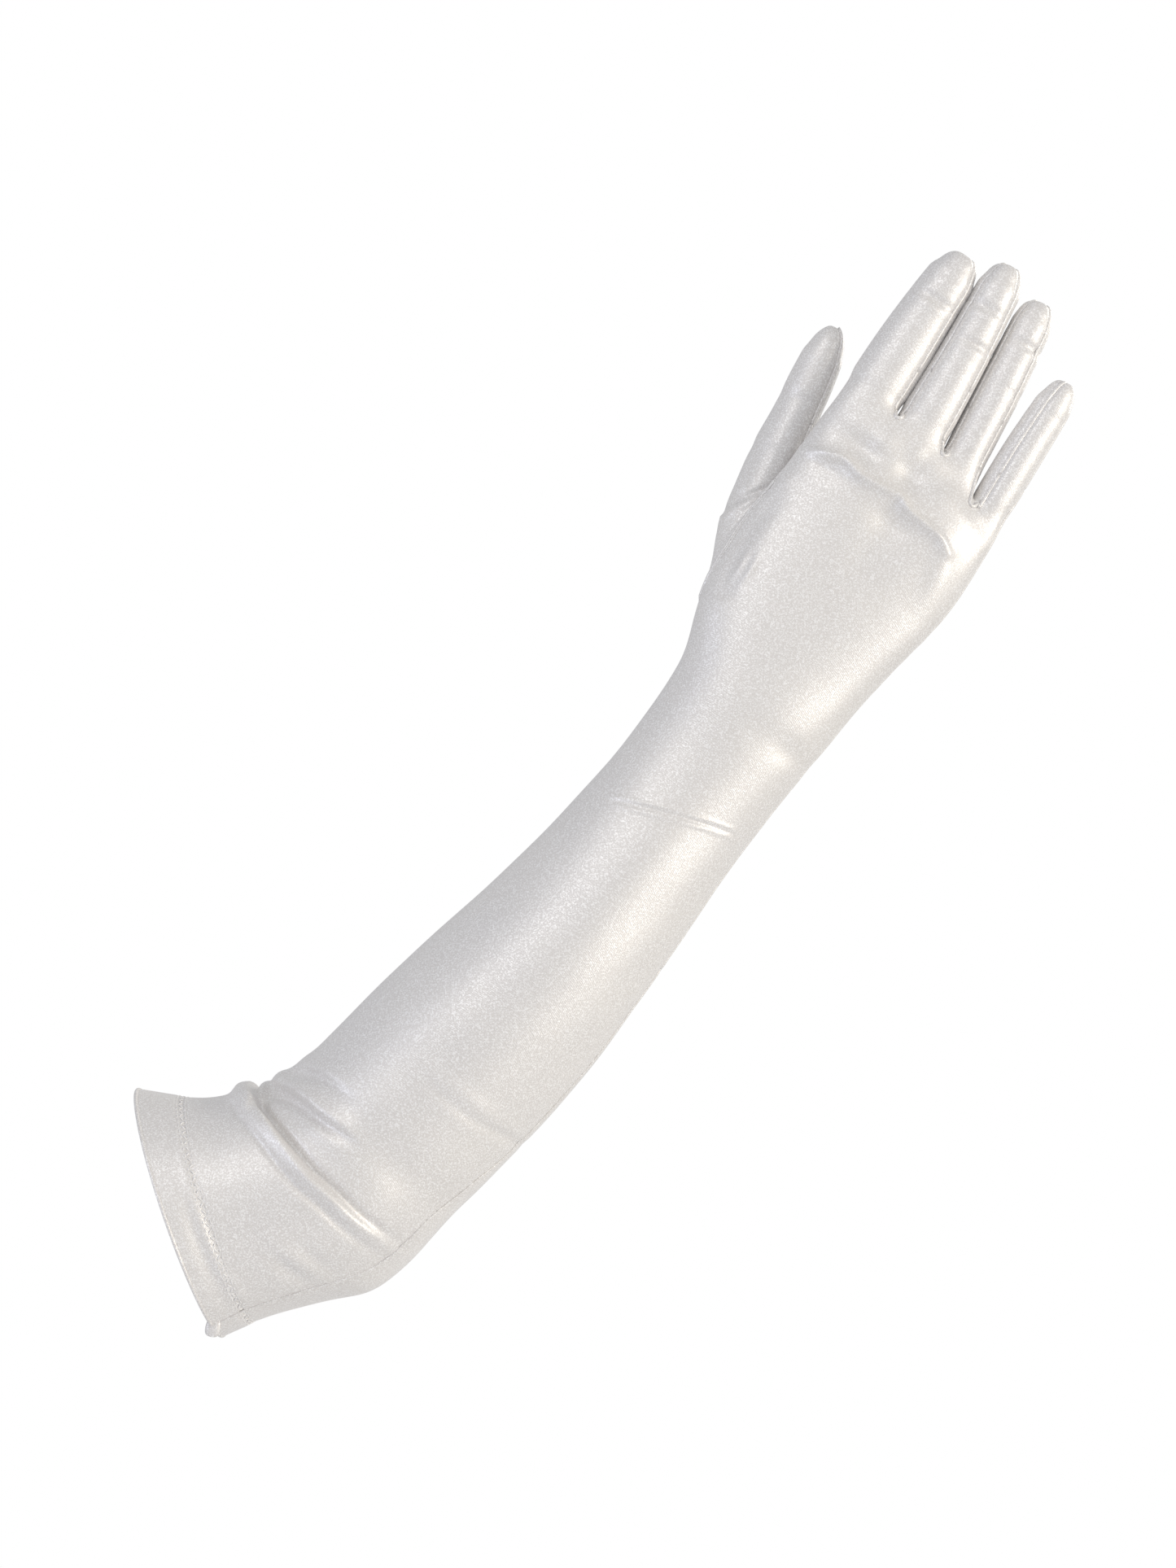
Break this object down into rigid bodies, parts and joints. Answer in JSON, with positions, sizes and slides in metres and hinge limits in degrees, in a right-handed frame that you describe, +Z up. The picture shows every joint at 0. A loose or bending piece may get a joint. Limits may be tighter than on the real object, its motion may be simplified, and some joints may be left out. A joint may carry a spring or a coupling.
{
  "type": "opera glove",
  "caption": "Long right-hand opera glove in white stretch satin, shown as worn: sleeve past the elbow with a turned hem, set-in thumb and fourchettes between the fingers.",
  "frame": {"origin": "middle of the arm opening", "axes": "+Z up towards the fingertips, +X from the arm opening towards the hand, -Y out of the back of the hand"},
  "size_m": [0.3356, 0.082, 0.3865],
  "materials": {
    "satin": "white stretch satin with a soft sheen",
    "thread": "white sewing thread on raised seams"
  },
  "bodies": {
    "upper_sleeve": {"arm_hem": "satin", "upper_sleeve": "satin", "hem_stitching": "thread", "upper_side_seam": "thread"},
    "forearm": {"elbow_sleeve": "satin", "elbow_side_seam": "thread", "forearm_sleeve": "satin", "forearm_side_seam": "thread"},
    "hand": {"wrist_sleeve": "satin", "wrist_side_seam": "thread", "hand_back": "satin", "hand_palm": "satin", "hand_side_seam": "thread", "thumb_root": "satin", "thumb_seam": "thread"},
    "thumb": {"thumb_fold": "satin", "thumb_back": "satin", "thumb_palm": "satin"},
    "thumb_end": {"thumb_joint_fold": "satin", "thumb_tip_back": "satin", "thumb_tip_palm": "satin"},
    "index_finger": {"index_fold": "satin", "index_wrap": "satin", "index_fourchette": "satin"},
    "index_fingertip": {"index_joint_fold": "satin", "index_tip_wrap": "satin", "index_tip_fourchette": "satin"},
    "middle_finger": {"middle_fold": "satin", "middle_back": "satin", "middle_palm": "satin", "middle_fourchette_thumb_side": "satin", "middle_fourchette_far_side": "satin"},
    "middle_fingertip": {"middle_joint_fold": "satin", "middle_tip_back": "satin", "middle_tip_palm": "satin", "middle_tip_fourchette_thumb_side": "satin", "middle_tip_fourchette_far_side": "satin"},
    "ring_finger": {"ring_fold": "satin", "ring_back": "satin", "ring_palm": "satin", "ring_fourchette_thumb_side": "satin", "ring_fourchette_far_side": "satin"},
    "ring_fingertip": {"ring_joint_fold": "satin", "ring_tip_back": "satin", "ring_tip_palm": "satin", "ring_tip_fourchette_thumb_side": "satin", "ring_tip_fourchette_far_side": "satin"},
    "little_finger": {"little_fold": "satin", "little_back": "satin", "little_palm": "satin", "little_fourchette_thumb_side": "satin"},
    "little_fingertip": {"little_joint_fold": "satin", "little_tip_back": "satin", "little_tip_palm": "satin", "little_tip_fourchette_thumb_side": "satin"}
  },
  "joints": [
    {"name": "elbow_bend", "type": "hinge", "parent": "upper_sleeve", "child": "forearm", "pos_m": [0.052, 0, 0.008], "axis": [0, -1, 0], "range_deg": [-35, 45], "deforming": ["elbow_sleeve", "elbow_side_seam"]},
    {"name": "wrist_bend", "type": "hinge", "parent": "forearm", "child": "hand", "pos_m": [0.206, 0, 0.1835], "axis": [-0.8387, 0, 0.5446], "range_deg": [-60, 65], "deforming": ["wrist_sleeve", "wrist_side_seam"]},
    {"name": "thumb_knuckle", "type": "hinge", "parent": "hand", "child": "thumb", "pos_m": [0.21453, 0.0174, 0.27352], "axis": [-0.8754, 0.2588, 0.4082], "range_deg": [-15, 45], "deforming": ["thumb_fold"]},
    {"name": "thumb_tip_bend", "type": "hinge", "parent": "thumb", "child": "thumb_end", "pos_m": [0.22463, 0.017, 0.29463], "axis": [-0.8754, 0.2588, 0.4082], "range_deg": [-10, 60], "deforming": ["thumb_joint_fold"]},
    {"name": "index_knuckle", "type": "hinge", "parent": "hand", "child": "index_finger", "pos_m": [0.2477, 0.0034, 0.29232], "axis": [-0.866, 0, 0.5], "range_deg": [-12, 80], "deforming": ["index_fold"]},
    {"name": "index_tip_bend", "type": "hinge", "parent": "index_finger", "child": "index_fingertip", "pos_m": [0.26111, 0.0029, 0.31303], "axis": [-0.866, 0, 0.5], "range_deg": [0, 85], "deforming": ["index_joint_fold"]},
    {"name": "middle_knuckle", "type": "hinge", "parent": "hand", "child": "middle_finger", "pos_m": [0.26552, 0.0034, 0.28073], "axis": [-0.866, 0, 0.5], "range_deg": [-12, 80], "deforming": ["middle_fold"]},
    {"name": "middle_tip_bend", "type": "hinge", "parent": "middle_finger", "child": "middle_fingertip", "pos_m": [0.27918, 0.003, 0.3044], "axis": [-0.866, 0, 0.5], "range_deg": [0, 85], "deforming": ["middle_joint_fold"]},
    {"name": "ring_knuckle", "type": "hinge", "parent": "hand", "child": "ring_finger", "pos_m": [0.28007, 0.0059, 0.2691], "axis": [-0.866, 0, 0.5], "range_deg": [-12, 80], "deforming": ["ring_fold"]},
    {"name": "ring_tip_bend", "type": "hinge", "parent": "ring_finger", "child": "ring_fingertip", "pos_m": [0.29211, 0.0055, 0.29237], "axis": [-0.866, 0, 0.5], "range_deg": [0, 85], "deforming": ["ring_joint_fold"]},
    {"name": "little_knuckle", "type": "hinge", "parent": "hand", "child": "little_finger", "pos_m": [0.2886, 0.004, 0.25034], "axis": [-0.866, 0, 0.5], "range_deg": [-12, 80], "deforming": ["little_fold"]},
    {"name": "little_tip_bend", "type": "hinge", "parent": "little_finger", "child": "little_fingertip", "pos_m": [0.29998, 0.0037, 0.26925], "axis": [-0.866, 0, 0.5], "range_deg": [0, 85], "deforming": ["little_joint_fold"]}
  ]
}
